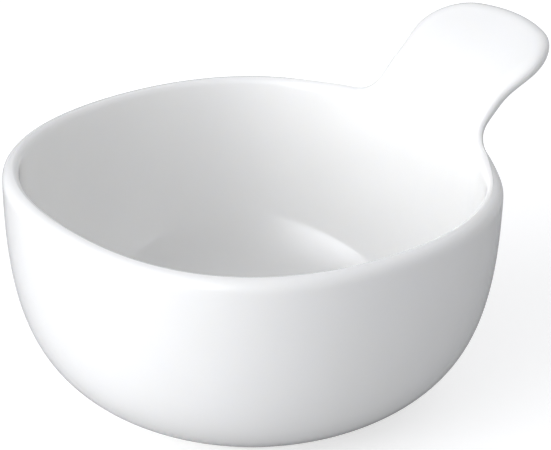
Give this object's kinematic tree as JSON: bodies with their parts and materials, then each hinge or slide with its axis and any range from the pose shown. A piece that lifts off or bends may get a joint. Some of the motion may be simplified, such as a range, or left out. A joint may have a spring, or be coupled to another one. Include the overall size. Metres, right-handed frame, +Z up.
{
  "type": "shaving bowl",
  "caption": "Small white porcelain lather bowl with a low foot ring and a flat tab handle rising from its rim.",
  "frame": {"origin": "centre of the foot ring's resting plane", "axes": "+Z up through the bowl's axis, +X out along the tab handle"},
  "size_m": [0.1446, 0.12, 0.0813],
  "materials": {
    "porcelain": "fired white porcelain body",
    "bare_foot": "bare turned porcelain, matt",
    "glaze": "clear gloss glaze over white"
  },
  "bodies": {
    "root": {"bowl": "porcelain", "tab_handle": "porcelain", "foot_ring": "bare_foot", "glaze_coat": "glaze", "base_glaze": "glaze"}
  },
  "joints": []
}
